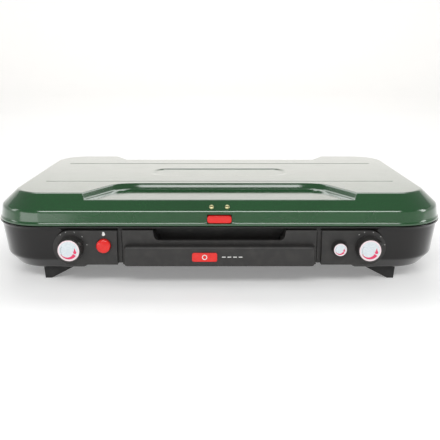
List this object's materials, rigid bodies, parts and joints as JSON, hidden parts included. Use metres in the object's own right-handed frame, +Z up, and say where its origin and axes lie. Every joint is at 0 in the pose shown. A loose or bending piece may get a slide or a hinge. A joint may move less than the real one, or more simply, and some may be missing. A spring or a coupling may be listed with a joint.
{
  "type": "camping stove",
  "caption": "Tabletop gas camping stove for pans, closed like a briefcase: hinged green lid over a black base with front knobs, push igniter and grip bar.",
  "frame": {"origin": "on the table, under the middle of the closed stove", "axes": "+X to the right along the front, -Y to the front with the controls, +Z up"},
  "size_m": [0.712, 0.4539, 0.1402],
  "materials": {
    "green_enamel": "gloss",
    "black_enamel": "gloss",
    "black_moulding": "fine moulded texture",
    "zinc_plated_steel": "zinc plated",
    "chromed_wire": "bright plating",
    "brass": "machined",
    "cast_aluminium": "as cast",
    "scarlet_plastic": "gloss",
    "silver_dial": "satin silver print",
    "white_ceramic": "glazed",
    "black_rubber": "matt"
  },
  "bodies": {
    "base": {"base_pan": "black_enamel", "cooktop": "black_enamel", "control_panel_left": "black_moulding", "control_panel_right": "black_moulding", "front_handle": "black_moulding", "igniter_body": "black_moulding", "hinge_base_leaf_left": "zinc_plated_steel", "hinge_base_leaf_right": "zinc_plated_steel", "hinge_pin_left": "zinc_plated_steel", "hinge_pin_right": "zinc_plated_steel", "mixing_tube_left": "zinc_plated_steel", "mixing_tube_centre": "zinc_plated_steel", "mixing_tube_right": "zinc_plated_steel", "grate_left": "chromed_wire", "grate_centre": "chromed_wire", "grate_right": "chromed_wire", "valve_left": "brass", "valve_centre": "brass", "valve_right": "brass", "gas_manifold": "brass", "gas_inlet": "brass", "burner_left": "cast_aluminium", "burner_centre": "cast_aluminium", "burner_right": "cast_aluminium", "burner_cap_left": "cast_aluminium", "burner_cap_centre": "cast_aluminium", "burner_cap_right": "cast_aluminium", "handle_badge": "scarlet_plastic", "spark_electrode_left": "white_ceramic", "spark_electrode_centre": "white_ceramic", "spark_electrode_right": "white_ceramic", "foot_front_left": "black_rubber", "foot_front_right": "black_rubber", "foot_rear_left": "black_rubber", "foot_rear_right": "black_rubber", "spark_lead_left": "black_rubber", "spark_lead_centre": "black_rubber", "spark_lead_right": "black_rubber"},
    "lid": {"lid_shell": "green_enamel", "hinge_lid_leaf_left": "zinc_plated_steel", "hinge_lid_leaf_right": "zinc_plated_steel", "latch_bracket": "zinc_plated_steel", "latch_screw_left": "brass", "latch_screw_right": "brass"},
    "latch": {"latch_button": "scarlet_plastic", "latch_tongue": "zinc_plated_steel"},
    "left_knob": {"knob_left": "black_moulding", "dial_left": "silver_dial", "valve_stem_left": "brass"},
    "centre_knob": {"knob_centre": "black_moulding", "dial_centre": "silver_dial", "valve_stem_centre": "brass"},
    "right_knob": {"knob_right": "black_moulding", "dial_right": "silver_dial", "valve_stem_right": "brass"},
    "igniter": {"igniter_button": "scarlet_plastic"}
  },
  "joints": [
    {"name": "lid_hinge", "type": "hinge", "parent": "base", "child": "lid", "pos_m": [0, 0.2235, 0.0945], "axis": [-1, 0, 0], "range_deg": [0, 100]},
    {"name": "latch_push", "type": "slide", "parent": "lid", "child": "latch", "axis": [0, 1, 0], "range_m": [0, 0.0035], "stiffness_N_per_m": 900, "springref_m": -0.003},
    {"name": "left_knob_turn", "type": "hinge", "parent": "base", "child": "left_knob", "pos_m": [-0.227, -0.207, 0.0618], "axis": [0, -1, 0], "range_deg": [0, 270]},
    {"name": "centre_knob_turn", "type": "hinge", "parent": "base", "child": "centre_knob", "pos_m": [0.183, -0.207, 0.0618], "axis": [0, -1, 0], "range_deg": [0, 270]},
    {"name": "right_knob_turn", "type": "hinge", "parent": "base", "child": "right_knob", "pos_m": [0.227, -0.207, 0.0618], "axis": [0, -1, 0], "range_deg": [0, 270]},
    {"name": "igniter_push", "type": "slide", "parent": "base", "child": "igniter", "axis": [0, 1, 0], "range_m": [0, 0.005], "stiffness_N_per_m": 700, "springref_m": -0.004}
  ]
}
